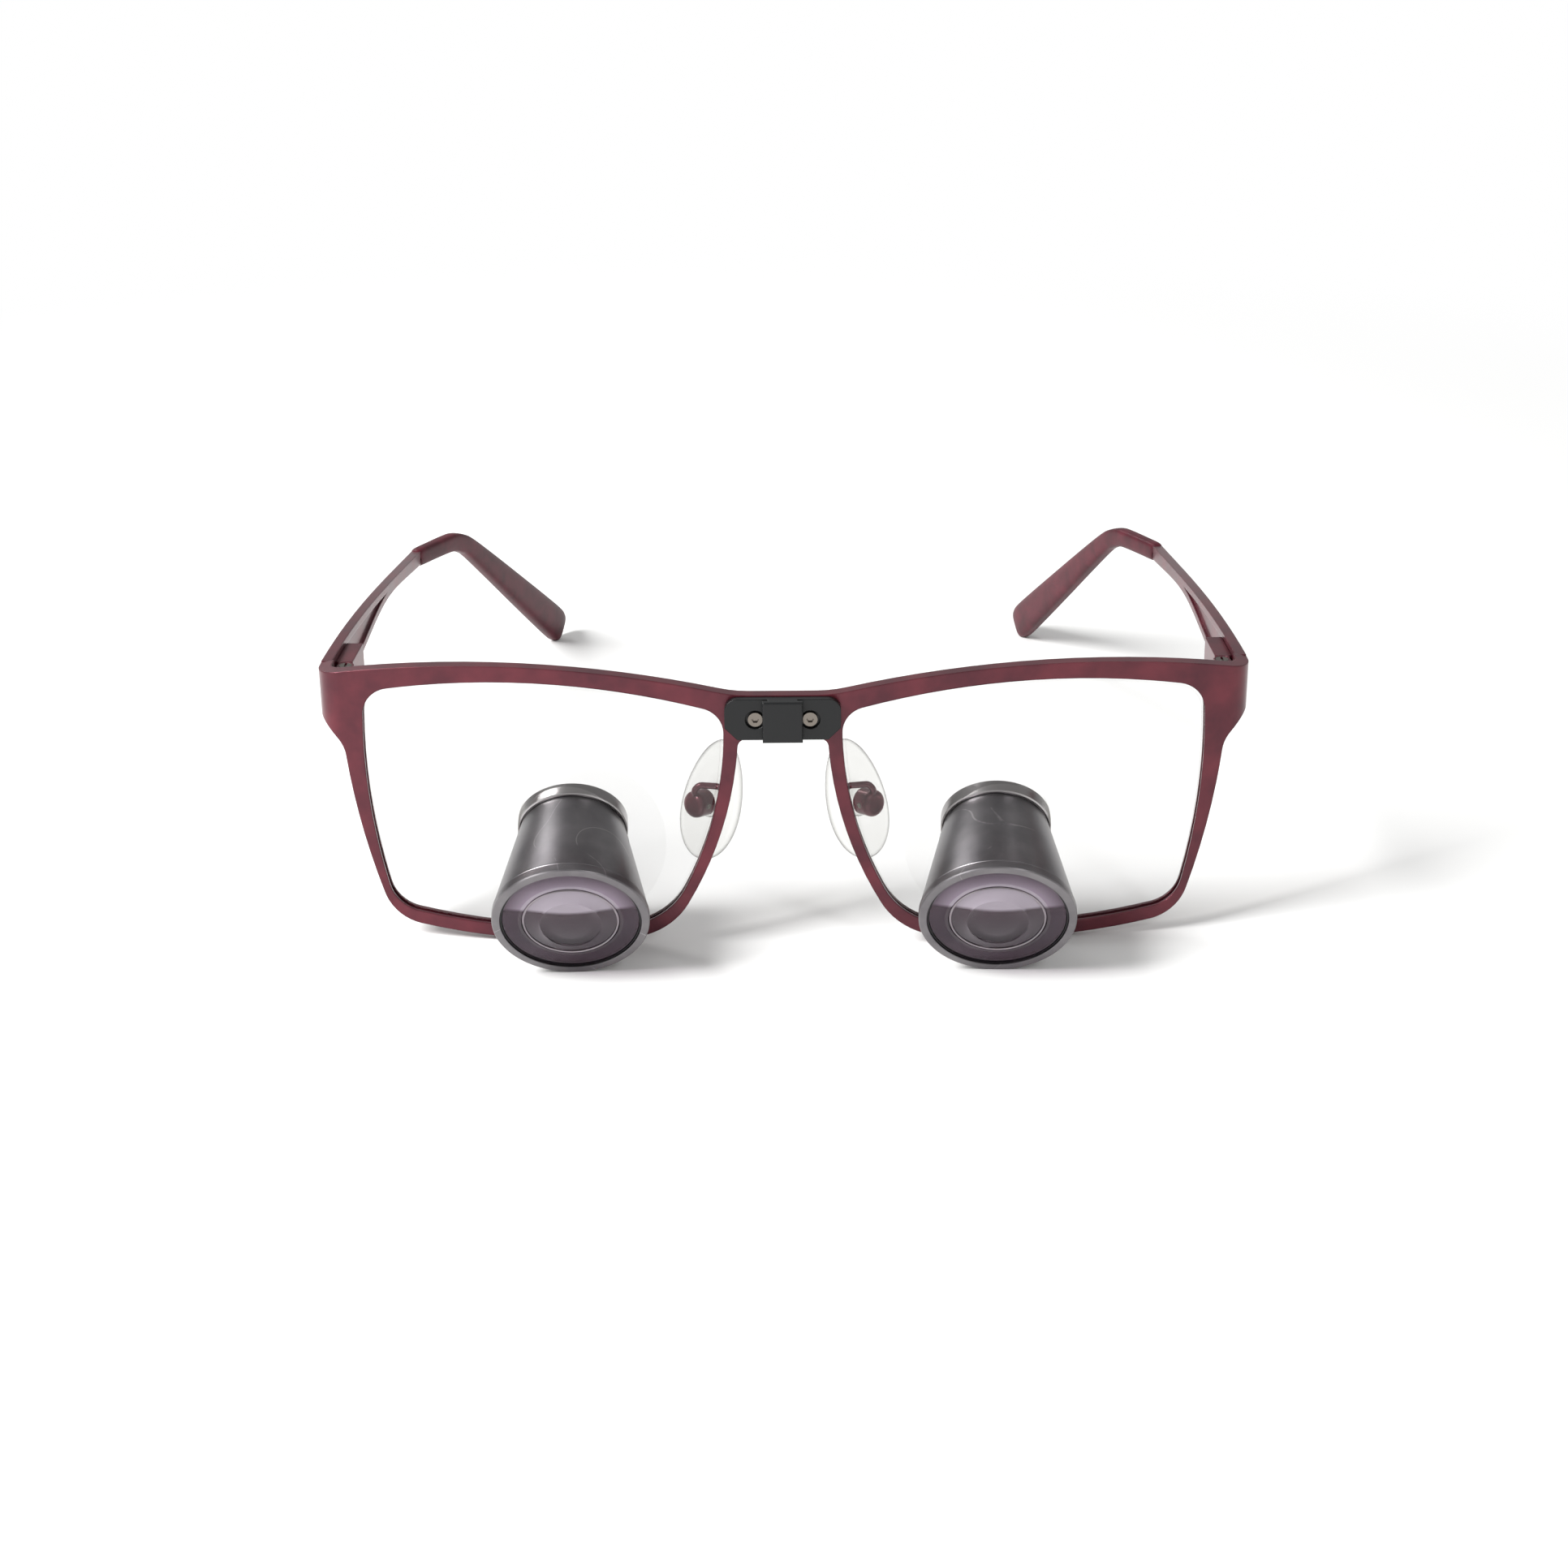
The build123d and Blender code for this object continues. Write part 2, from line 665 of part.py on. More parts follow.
# Temple tip
half_front, half_end = tip_front_height / 2, tip_end_height / 2
with BuildPart() as temple_tip:
    with BuildSketch(tip_plane) as tip_side:
        with BuildLine():
            mouth_top = tip_start + Vector(tip_mouth_slant, half_front)
            mouth_low = tip_start - Vector(0, half_front)
            bend_top = tip_bend + Vector(0.7, half_front)
            bend_low = tip_bend - Vector(0.9, half_front)
            end_top = tip_end + hook_up * half_end
            end_low = tip_end - hook_up * half_end
            Polyline(mouth_top, bend_top, end_top, end_low, bend_low, mouth_low, close=True)
        make_face()
        for point, radius in (
            (bend_top, tip_bend_radius),
            (bend_low, tip_bend_radius),
            (end_top, tip_corner),
            (end_low, tip_corner),
        ):
            fillet(corner_at(tip_side.sketch_local, point.X, point.Y), radius=radius)
    extrude(amount=tip_thickness / 2, both=True)
    fillet(temple_tip.faces().filter_by(Axis(tip_origin, tip_out)).edges(), radius=tip_edge)
    with BuildSketch(tip_plane):
        with BuildLine():
            FilletPolyline(
                tip_start - Vector(2, 0), tip_bend, core_end + hook * 0.3, radius=core_bend_radius
            )
        trace(line_width=core_height + 2 * fit_gap)
    extrude(amount=core_thickness / 2 + fit_gap, both=True, mode=Mode.SUBTRACT)
export_pair(temple_tip.part, "temple_tip")

# Nose pad plane: x across the pad away from the nose, y up the pad, z towards its arm
splay, lean = radians(pad_splay), radians(pad_lean)
pad_across = Vector(cos(splay), sin(splay), 0)
pad_up = Vector(-sin(lean), 0, cos(lean))
pad_lift = pad_across.cross(pad_up).normalized()
pad_centre = Vector(pad_x, bridge_y + pad_back, pad_z)
pad_plane = Plane(pad_centre, x_dir=pad_across, z_dir=pad_lift)
pad_back_plane = pad_plane.offset(pad_thickness / 2)
pad_pin_plane = Plane(
    pad_back_plane.offset(pad_screw_lift).origin, x_dir=pad_lift, z_dir=pad_across
)

with BuildPart() as nose_pad:
    with BuildSketch(pad_plane):
        Ellipse(pad_width / 2, pad_height / 2)
    extrude(amount=pad_thickness / 2, both=True)
    fillet(nose_pad.edges(), radius=pad_edge)
    with BuildSketch(pad_back_plane):
        Circle(core_disc_radius + fit_gap)
    extrude(amount=-core_disc_thickness - fit_gap, mode=Mode.SUBTRACT)
export_pair(nose_pad.part, "nose_pad")

with BuildPart() as pad_core:
    with BuildSketch(pad_back_plane):
        Circle(core_disc_radius)
    extrude(amount=-core_disc_thickness)
    with BuildSketch(pad_pin_plane):
        Circle(lug_radius)
        with Locations((-pad_screw_lift / 2, 0)):
            Rectangle(pad_screw_lift, 2 * lug_radius)
    extrude(amount=lug_thickness / 2, both=True)
    with Locations(pad_pin_plane):
        Hole(pad_screw_radius + fit_gap)
export_pair(pad_core.part, "pad_core")

with BuildPart() as pad_screw:
    with BuildSketch(pad_pin_plane):
        Circle(pad_screw_radius)
    extrude(amount=pad_box_radius, both=True)
    with BuildSketch(pad_pin_plane.offset(pad_box_radius)):
        Circle(pad_screw_head)
    extrude(amount=-pad_screw_head_height)
export_pair(pad_screw.part, "pad_screw")

# Pad arm: a wire brazed to the rim, looped over to a round box that takes the pad's lug
box_plane = pad_back_plane.offset(pad_box_start)
box_top = box_plane.offset(pad_box_height).origin
root_sag = wrap_radius - sqrt((wrap_radius - front_thickness) ** 2 - arm_root_x**2)
arm_root = Vector(arm_root_x, bridge_y + root_sag - arm_radius, arm_root_z)
arm_stem = arm_root + Vector(0.3, arm_stem_length, 0.6)
arm_over = box_top + pad_up * arm_loop_rise - pad_across * 0.6
arm_down = box_top + pad_up * arm_loop_rise * 0.7 + pad_lift * 0.2
arm_foot = box_plane.offset(pad_box_height - 0.9).origin + pad_up * pad_box_radius * 0.6
with BuildPart() as pad_arm:
    with BuildSketch(box_plane):
        Circle(pad_box_radius)
    extrude(amount=pad_box_height)
    fillet(pad_arm.edges().sort_by(Axis(pad_centre, pad_lift))[-1], radius=0.9)
    with BuildLine() as arm_path:
        FilletPolyline(arm_root, arm_stem, arm_over, arm_down, arm_foot, radius=arm_bend_radius)
    with BuildSketch(Plane(arm_root, z_dir=arm_path.line % 0)):
        Circle(arm_radius)
    sweep(path=arm_path.line)
    extrude(plate_plan.sketch, amount=eye_high + through, mode=Mode.SUBTRACT)
    with BuildSketch(box_plane):
        Rectangle(pad_slot_width, pad_slot_length)
    extrude(amount=pad_box_height - pad_box_roof, mode=Mode.SUBTRACT)
    with Locations(pad_pin_plane):
        Hole(pad_screw_radius + fit_gap / 2)
    with BuildSketch(pad_pin_plane.offset(pad_box_radius)):
        Circle(pad_screw_head + fit_gap)
    extrude(amount=-pad_screw_head_height, mode=Mode.SUBTRACT)
export_pair(pad_arm.part, "pad_arm")

# Headlight rail: a plate with a T-shaped tongue, screwed through the bridge
plate_back = front_plane.offset(plate_gap)
rail_front = plate_back.offset(plate_thickness + rail_neck_depth + rail_thickness)
with BuildPart() as light_rail:
    with BuildSketch(plate_back) as plate_face:
        with Locations((0, rail_middle_z)):
            Rectangle(plate_width, plate_height)
        fillet(plate_face.vertices().group_by(Axis.Y)[-1], radius=plate_corner)
        chamfer(plate_face.vertices().group_by(Axis.Y)[0], length=plate_corner)
    extrude(amount=plate_thickness)
    with BuildSketch(plate_back.offset(plate_thickness)):
        with Locations((0, rail_middle_z)):
            Rectangle(rail_neck_width, plate_height)
    extrude(amount=rail_neck_depth)
    with BuildSketch(rail_front):
        with Locations((0, rail_middle_z)):
            Rectangle(rail_width, plate_height)
    extrude(amount=-rail_thickness)
    fillet(light_rail.faces().sort_by(Axis.Y)[0].edges(), radius=rail_edge)
    with Locations(plate_back.offset(plate_thickness)):
        with Locations(*rail_screw_spots):
            CounterBoreHole(
                rail_screw_radius + fit_gap, rail_bore_radius, rail_bore_depth, plate_thickness
            )
light_rail.part.label = "light_rail"
export_step(light_rail.part, "parts/light_rail.step")

# Rail screws, one node with both
rail_head_plane = plate_back.offset(plate_thickness - rail_bore_depth)
rail_screw_length = plate_thickness - rail_bore_depth + plate_gap
rail_screw_length += front_thickness + nut_plate_thickness + 2 * plate_gap
with BuildPart() as rail_screws:
    with BuildSketch(rail_head_plane):
        with Locations(*rail_screw_spots):
            Circle(rail_head_radius)
    extrude(amount=rail_head_height)
    with BuildSketch(rail_head_plane):
        with Locations(*rail_screw_spots):
            Circle(rail_screw_radius)
    extrude(amount=-rail_screw_length)
    with BuildSketch(rail_head_plane.offset(rail_head_height)):
        with Locations(*rail_screw_spots):
            RegularPolygon(rail_socket_width / 2, 6)
    extrude(amount=-rail_socket_depth, mode=Mode.SUBTRACT)
rail_screws.part.label = "rail_screws"
export_step(rail_screws.part, "parts/rail_screws.step")

# Threaded nut plate behind the bridge
nut_sag = nut_plate_width**2 / 8 / wrap_radius
with BuildPart() as rail_nut_plate:
    with BuildSketch(front_plane.offset(-front_thickness - nut_sag - plate_gap)) as nut_face:
        with Locations((0, rail_middle_z)):
            Rectangle(nut_plate_width, nut_plate_height)
        fillet(nut_face.vertices(), radius=nut_plate_height / 3)
        with Locations(*rail_screw_spots):
            Circle(rail_screw_radius + fit_gap / 2, mode=Mode.SUBTRACT)
    extrude(amount=-nut_plate_thickness)
rail_nut_plate.part.label = "rail_nut_plate"
export_step(rail_nut_plate.part, "parts/rail_nut_plate.step")

print(f"bridge front at y = {bridge_y:.4f}, telescope face centre {scope_face}")
print(f"telescope axis {scope_back}, hinge pin {hinge_pin}, pad pin {pad_pin_plane.origin}")
print(f"pad pin axis {pad_across}, rail front y {rail_front.origin.Y:.4f}")
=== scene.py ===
import math

import bmesh
import bpy
from mathutils import Matrix, Vector


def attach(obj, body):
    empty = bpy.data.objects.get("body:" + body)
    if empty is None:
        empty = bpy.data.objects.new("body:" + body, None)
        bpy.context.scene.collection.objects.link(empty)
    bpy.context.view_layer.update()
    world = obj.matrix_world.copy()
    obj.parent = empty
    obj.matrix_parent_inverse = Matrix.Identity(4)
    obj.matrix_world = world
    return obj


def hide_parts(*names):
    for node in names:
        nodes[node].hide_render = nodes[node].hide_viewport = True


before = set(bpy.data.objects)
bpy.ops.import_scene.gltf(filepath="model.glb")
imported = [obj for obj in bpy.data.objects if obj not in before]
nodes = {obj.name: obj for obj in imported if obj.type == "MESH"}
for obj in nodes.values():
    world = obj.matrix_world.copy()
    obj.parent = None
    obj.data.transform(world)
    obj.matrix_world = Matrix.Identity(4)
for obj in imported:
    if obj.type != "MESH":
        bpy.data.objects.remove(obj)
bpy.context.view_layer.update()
mm = 0.001
bridgeY = -61.3826  # front of the bridge in the frame's millimetres, from the CAD
sides = {"left": 1, "right": -1}  # the wearer's sides, and the sign of X there
weldReach = 1e-7  # points nearer than this are one
print("loupes: frame loaded,", len(nodes), "CAD nodes")


# Small helpers

def linearColour(hexCode):
    values = [int(hexCode[i:i + 2], 16) / 255 for i in (1, 3, 5)]
    return [v / 12.92 if v <= 0.04045 else ((v + 0.055) / 1.055) ** 2.4 for v in values] + [1.0]


# Links and values go by socket, and stops are a ramp's places and colours. A setting names a
# property of the node or, with _ for a space, one of its sockets.
def addNode(tree, kind, links=None, values=None, stops=(), **settings):
    node = tree.nodes.new(kind)
    for key, value in settings.items():
        if hasattr(node, key):
            setattr(node, key, value)
        else:
            node.inputs[key.replace("_", " ")].default_value = value
    for socket, value in (values or {}).items():
        node.inputs[socket].default_value = value
    for socket, source in (links or {}).items():
        tree.links.new(source, node.inputs[socket])
    if stops:
        elements = node.color_ramp.elements
        while len(elements) < len(stops):
            elements.new(0.5)
        for element, (position, hexCode) in zip(elements, stops):
            element.position = position
            element.color = linearColour(hexCode)
    return node


def newMaterial(name):
    material = bpy.data.materials.new(name)
    material.use_nodes = True
    material.node_tree.nodes.clear()
    return material, material.node_tree


def finishMaterial(tree, shader):
    addNode(tree, "ShaderNodeOutputMaterial", {"Surface": shader.outputs[0]})


def dressNode(node, material):
    for slot in node.material_slots:
        slot.link = "OBJECT"
        slot.material = material
    if not node.material_slots:
        node.data.materials.append(material)


# Satin burgundy lacquer, sprayed on blasted metal and baked: a soft metallic sheen with a very
# fine orange peel, in cloudy deeper and lighter burgundy. The peel is really about 0.2 mm and is
# drawn at 0.4 mm so that it shows.
lacquer = {
    "deep": "#4a1422",
    "light": "#66232f",
    "deepTo": 0.3,
    "lightFrom": 0.7,
    "cloudSize": 6.0,
    "peelSize": 0.4,
    "peelHeight": 0.006,
    "peelStrength": 0.35,
    "edgeWidth": 0.35,
    "edgeSamples": 6,
    "metallic": 0.5,
    "smoothest": 0.26,
    "roughest": 0.35,
    "coatWeight": 0.25,
    "coatRoughness": 0.2,
}


def satinBurgundyLacquer():
    material, tree = newMaterial("satin burgundy lacquer, sprayed and baked")
    place = addNode(tree, "ShaderNodeTexCoord").outputs["Object"]
    clouds = addNode(
        tree, "ShaderNodeTexNoise", {"Vector": place},
        Scale=1 / (lacquer["cloudSize"] * mm), Detail=3.0, Roughness=0.55,
    )
    tone = addNode(
        tree, "ShaderNodeValToRGB", {"Fac": clouds.outputs["Fac"]},
        stops=((lacquer["deepTo"], lacquer["deep"]), (lacquer["lightFrom"], lacquer["light"])),
    )
    peel = addNode(
        tree, "ShaderNodeTexNoise", {"Vector": place},
        Scale=1 / (lacquer["peelSize"] * mm), Detail=2.0,
    )
    # Sprayed edges are round, and catch the light as a thin line
    edge = addNode(
        tree, "ShaderNodeBevel", samples=lacquer["edgeSamples"], Radius=lacquer["edgeWidth"] * mm,
    )
    bump = addNode(
        tree, "ShaderNodeBump", {"Height": peel.outputs["Fac"], "Normal": edge.outputs["Normal"]},
        Strength=lacquer["peelStrength"], Distance=lacquer["peelHeight"] * mm,
    )
    gloss = addNode(
        tree, "ShaderNodeMapRange", {"Value": clouds.outputs["Fac"]},
        To_Min=lacquer["smoothest"], To_Max=lacquer["roughest"],
    )
    shader = addNode(
        tree, "ShaderNodeBsdfPrincipled",
        {
            "Base Color": tone.outputs["Color"],
            "Roughness": gloss.outputs["Result"],
            "Normal": bump.outputs["Normal"],
        },
        Metallic=lacquer["metallic"],
        Coat_Weight=lacquer["coatWeight"],
        Coat_Roughness=lacquer["coatRoughness"],
    )
    finishMaterial(tree, shader)
    return material


# Burgundy acetate, cut and tumble-polished: the same colour, cloudier and softer than the metal
acetate = {
    "deep": "#3f101b",
    "light": "#561a27",
    "deepTo": 0.32,
    "lightFrom": 0.68,
    "cloudSize": 4.0,
    "waveHeight": 0.02,
    "waveStrength": 0.2,
    "roughness": 0.4,
    "specular": 0.28,
    "ior": 1.48,
}


def tumbledAcetate():
    material, tree = newMaterial("burgundy acetate, tumbled")
    place = addNode(tree, "ShaderNodeTexCoord").outputs["Object"]
    clouds = addNode(
        tree, "ShaderNodeTexNoise", {"Vector": place},
        Scale=1 / (acetate["cloudSize"] * mm), Detail=4.0, Distortion=0.6,
    )
    tone = addNode(
        tree, "ShaderNodeValToRGB", {"Fac": clouds.outputs["Fac"]},
        stops=((acetate["deepTo"], acetate["deep"]), (acetate["lightFrom"], acetate["light"])),
    )
    bump = addNode(
        tree, "ShaderNodeBump", {"Height": clouds.outputs["Fac"]},
        Strength=acetate["waveStrength"], Distance=acetate["waveHeight"] * mm,
    )
    shader = addNode(
        tree, "ShaderNodeBsdfPrincipled",
        {"Base Color": tone.outputs["Color"], "Normal": bump.outputs["Normal"]},
        Roughness=acetate["roughness"], IOR=acetate["ior"],
        Specular_IOR_Level=acetate["specular"],
    )
    finishMaterial(tree, shader)
    return material


# Titanium, turned and then bead-blasted: even grey with a fine grit that spreads the highlight,
# and a few fine light lines, partly scratches from handling and partly a painted reflection of the
# room. The grit is really about 0.1 mm and is drawn at 0.22 mm so that it shows.
titanium = {
    "dark": "#6d6a6d",
    "light": "#817e80",
    "darkTo": 0.3,
    "lightFrom": 0.7,
    "patchSize": 5.0,
    "gritSize": 0.22,
    "gritHeight": 0.012,
    "gritStrength": 0.4,
    "smoothest": 0.29,
    "roughest": 0.41,
    # colour of the lines, lighter than the metal: scratch wear and painted reflection
    "scratchAndReflection": "#c9c6c6",
    "scratchAndReflectionSize": 13.0,
    # how far the noise is from its middle value where a line is full, and where it has faded
    "scratchAndReflectionLine": (0.001, 0.004),
    # the patch values where the lines start and where they are full
    "scratchAndReflectionPatch": (0.46, 0.56),
    "scratchAndReflectionAmount": 0.4,
}


def blastedTitanium():
    material, tree = newMaterial("titanium, turned and bead-blasted")
    place = addNode(tree, "ShaderNodeTexCoord").outputs["Object"]
    grit = addNode(
        tree, "ShaderNodeTexNoise", {"Vector": place},
        Scale=1 / (titanium["gritSize"] * mm), Detail=2.0, Roughness=0.6,
    )
    patches = addNode(
        tree, "ShaderNodeTexNoise", {"Vector": place},
        Scale=1 / (titanium["patchSize"] * mm), Detail=4.0,
    )
    tone = addNode(
        tree, "ShaderNodeValToRGB", {"Fac": patches.outputs["Fac"]},
        stops=((titanium["darkTo"], titanium["dark"]), (titanium["lightFrom"], titanium["light"])),
    )
    # A light line, part scratch and part painted reflection, lies where a smooth noise crosses its
    # middle value, kept to a few short stretches
    path = addNode(
        tree, "ShaderNodeTexNoise", {"Vector": place},
        Scale=1 / (titanium["scratchAndReflectionSize"] * mm), Detail=0.0,
    )
    offMiddle = addNode(
        tree, "ShaderNodeMath", {0: path.outputs["Fac"]}, {1: 0.5}, operation="SUBTRACT",
    )
    nearLine = addNode(tree, "ShaderNodeMath", {0: offMiddle.outputs[0]}, operation="ABSOLUTE")
    lineCore, lineEdge = titanium["scratchAndReflectionLine"]
    line = addNode(
        tree, "ShaderNodeMapRange", {"Value": nearLine.outputs[0]},
        From_Min=lineCore, From_Max=lineEdge, To_Min=1.0, To_Max=0.0,
    )
    patchStart, patchFull = titanium["scratchAndReflectionPatch"]
    stretch = addNode(
        tree, "ShaderNodeMapRange", {"Value": patches.outputs["Fac"]},
        From_Min=patchStart, From_Max=patchFull, To_Min=0.0, To_Max=titanium["scratchAndReflectionAmount"],
    )
    scratchAndReflectionMask = addNode(
        tree, "ShaderNodeMath", {0: line.outputs[0], 1: stretch.outputs[0]}, operation="MULTIPLY",
    )
    # Sockets 6 and 7 are the two colours of a colour mix, and output 2 is its result
    colour = addNode(
        tree, "ShaderNodeMix", {"Factor": scratchAndReflectionMask.outputs[0], 6: tone.outputs["Color"]},
        {7: linearColour(titanium["scratchAndReflection"])}, data_type="RGBA",
    )
    bump = addNode(
        tree, "ShaderNodeBump", {"Height": grit.outputs["Fac"]},
        Strength=titanium["gritStrength"], Distance=titanium["gritHeight"] * mm,
    )
    gloss = addNode(
        tree, "ShaderNodeMapRange", {"Value": patches.outputs["Fac"]},
        To_Min=titanium["smoothest"], To_Max=titanium["roughest"],
    )
    shader = addNode(
        tree, "ShaderNodeBsdfPrincipled",
        {
            "Base Color": colour.outputs[2],
            "Roughness": gloss.outputs["Result"],
            "Normal": bump.outputs["Normal"],
        },
        Metallic=1.0,
    )
    finishMaterial(tree, shader)
    return material


# One finish with a fine grain, which breaks the highlight as a machined or moulded skin does.
# The grain's size and height and the width of a rounded edge are in millimetres.
def grainedMaterial(
    name, hexCode, roughness, metallic=0.0, grainSize=0.25, grainHeight=0.004, edge=0.0,
):
    material, tree = newMaterial(name)
    place = addNode(tree, "ShaderNodeTexCoord").outputs["Object"]
    grain = addNode(
        tree, "ShaderNodeTexNoise", {"Vector": place}, Scale=1 / (grainSize * mm), Detail=2.0,
    )
    bump = addNode(
        tree, "ShaderNodeBump", {"Height": grain.outputs["Fac"]},
        Strength=0.4, Distance=grainHeight * mm,
    )
    if edge:
        rounded = addNode(tree, "ShaderNodeBevel", samples=6, Radius=edge * mm)
        tree.links.new(rounded.outputs["Normal"], bump.inputs["Normal"])
    shader = addNode(
        tree, "ShaderNodeBsdfPrincipled", {"Normal": bump.outputs["Normal"]},
        Base_Color=linearColour(hexCode), Roughness=roughness, Metallic=metallic,
    )
    finishMaterial(tree, shader)
    return material


# Clear materials are thin here, so they let light straight through and reflect by their IOR, on
# front faces only. Glancing parts are darker, as the edge of a clear moulding is, and edgeStart
# is how far a face has turned away where that begins.
def clearMaterial(name, ior, roughness, clear, edge, edgeStart, gloss="#ffffff"):
    material, tree = newMaterial(name)
    facing = addNode(tree, "ShaderNodeLayerWeight", Blend=0.5)
    density = addNode(
        tree, "ShaderNodeMapRange", {"Value": facing.outputs["Facing"]},
        From_Min=edgeStart, From_Max=1.0,
    )
    tint = addNode(
        tree, "ShaderNodeValToRGB", {"Fac": density.outputs[0]}, stops=((0.0, clear), (1.0, edge)),
    )
    through = addNode(tree, "ShaderNodeBsdfTransparent", {"Color": tint.outputs["Color"]})
    shine = addNode(
        tree, "ShaderNodeBsdfAnisotropic", Color=linearColour(gloss), Roughness=roughness,
    )
    fresnel = addNode(tree, "ShaderNodeFresnel", IOR=ior)
    back = addNode(tree, "ShaderNodeNewGeometry").outputs["Backfacing"]
    front = addNode(tree, "ShaderNodeMath", {1: back}, {0: 1.0}, operation="SUBTRACT")
    amount = addNode(
        tree, "ShaderNodeMath", {0: fresnel.outputs[0], 1: front.outputs[0]}, operation="MULTIPLY",
    )
    mix = addNode(
        tree, "ShaderNodeMixShader",
        {0: amount.outputs[0], 1: through.outputs[0], 2: shine.outputs[0]},
    )
    finishMaterial(tree, mix)
    return material


# Telescopes: lengths run back along the axis from the objective's face, as in the CAD
scope = {
    "faceX": 31.85,
    "faceReach": 12.9,
    "rimRadius": 11.8,
    "rimChamfer": 0.3,
    "decline": 24.0,
    "converge": 2.0,
    "segments": 160,
}


def scopePlace(sign):
    dip, turn = math.radians(scope["decline"]), math.radians(scope["converge"])
    back = Vector((
        sign * math.sin(turn) * math.cos(dip),
        math.cos(turn) * math.cos(dip),
        math.sin(dip),
    ))
    up = Vector((
        -sign * math.sin(turn) * math.sin(dip),
        -math.cos(turn) * math.sin(dip),
        math.cos(dip),
    ))
    faceZ = scope["rimRadius"] * math.cos(dip) - scope["rimChamfer"] * math.sin(dip)
    face = Vector((sign * scope["faceX"], bridgeY - scope["faceReach"], faceZ))
    place = Matrix((up.cross(back), up, back)).transposed().to_4x4()
    place.translation = face * mm
    return place


# Objective: optical glass, polished and blacked on its edge, a deep plum well that turns brown
# towards the edge. Its tones up the glass are painted light: the pale lavender band across its top
# is a painted reflection of the bright floor, and the dark plum below it, darkest about a third of
# the way up, is painted shade, the floor in the telescope's shadow mirrored.
well = {
    # The first two colours are the pale band's, a painted reflection of the bright floor, darker
    # at its top
    "clear": "#aca8ae",
    "paintedReflectionTop": "#88848a",
    "middle": "#120b10",
    "low": "#33232a",
    "edge": "#35282c",
    "radius": 10.25,
    "paintedReflectionFrom": 2.8,  # above the axis
    # the other heights are shares of the way from the foot of the glass to its top, and the blur
    # is below and above the line where the painted reflection starts
    "lowAt": 0.05,
    "middleAt": 0.3,
    "blur": (0.02, 0.01),
    "paintedReflectionTo": 0.82,
    "topAt": 0.95,
    "edgeFrom": 0.76,  # share of the radius
    "edgeAmount": 0.8,
    "roughness": 0.1,
    "ior": 1.5,
    "coatWeight": 0.6,
    "coatRoughness": 0.02,
}


def blackedGlassWithPaintedReflection(sign):
    material, tree = newMaterial("optical glass, polished and blacked at its edge")
    place = addNode(tree, "ShaderNodeTexCoord").outputs["Object"]
    matrix = scopePlace(sign)
    fromFace = addNode(
        tree, "ShaderNodeVectorMath", {0: place}, {1: matrix.translation}, operation="SUBTRACT",
    )
    climb = addNode(
        tree, "ShaderNodeVectorMath", {0: fromFace.outputs[0]}, {1: matrix.to_3x3().col[1]},
        operation="DOT_PRODUCT",
    )
    distance = addNode(
        tree, "ShaderNodeVectorMath", {0: fromFace.outputs[0]}, operation="LENGTH",
    )
    radius = well["radius"] * mm
    height = addNode(
        tree, "ShaderNodeMapRange", {"Value": climb.outputs["Value"]},
        From_Min=-radius, From_Max=radius,
    )
    # Share of the height where the painted reflection of the floor starts; the ramp paints that
    # reflection across the top and painted shade below it
    start = 0.5 + 0.5 * well["paintedReflectionFrom"] / well["radius"]
    blurBelow, blurAbove = well["blur"]
    tone = addNode(
        tree, "ShaderNodeValToRGB", {"Fac": height.outputs[0]},
        stops=(
            (well["lowAt"], well["low"]), (well["middleAt"], well["middle"]),
            (start - blurBelow, well["low"]), (start + blurAbove, well["clear"]),
            (well["paintedReflectionTo"], well["clear"]), (well["topAt"], well["paintedReflectionTop"]),
        ),
    )
    share = addNode(
        tree, "ShaderNodeMapRange", {"Value": distance.outputs["Value"]},
        From_Min=well["edgeFrom"] * radius, From_Max=radius, To_Max=well["edgeAmount"],
    )
    colour = addNode(
        tree, "ShaderNodeMix", {"Factor": share.outputs[0], 6: tone.outputs["Color"]},
        {7: linearColour(well["edge"])}, data_type="RGBA",
    )
    shader = addNode(
        tree, "ShaderNodeBsdfPrincipled", {"Base Color": colour.outputs[2]},
        Roughness=well["roughness"], IOR=well["ior"],
        Coat_Weight=well["coatWeight"], Coat_Roughness=well["coatRoughness"],
    )
    finishMaterial(tree, shader)
    return material


burgundyLacquer = satinBurgundyLacquer()
burgundyAcetate = tumbledAcetate()
greyTitanium = blastedTitanium()
# Titanium, fine-turned: tool marks too fine to see, so a brighter and softer grey than blasting
ringTitanium = grainedMaterial(
    "titanium, fine-turned", "#a9a6a6",
    roughness=0.28, metallic=1.0, grainSize=0.15, grainHeight=0.003,
)
# Aluminium, blasted and black-anodised: deep black with a dull sheen and soft edges
blackAnodising = grainedMaterial(
    "aluminium, blasted and black-anodised", "#0d0e10",
    roughness=0.36, metallic=0.2, grainSize=0.2, grainHeight=0.006, edge=0.25,
)
# Steel, turned and nickel-plated: small bright heads, slightly warm
nickelSteel = grainedMaterial(
    "steel, turned and nickel-plated", "#7d766f",
    roughness=0.24, metallic=1.0, grainSize=0.3, grainHeight=0.002,
)
# Acetal, moulded: an even black ring around the glass
blackPlastic = grainedMaterial("acetal, moulded black", "#0e0e10", roughness=0.5)
# Aluminium, matt black inside: nearly no reflection, so that the bore reads as a dark hole
mattBlack = grainedMaterial("aluminium, matt black inside", "#08080a", roughness=0.7)
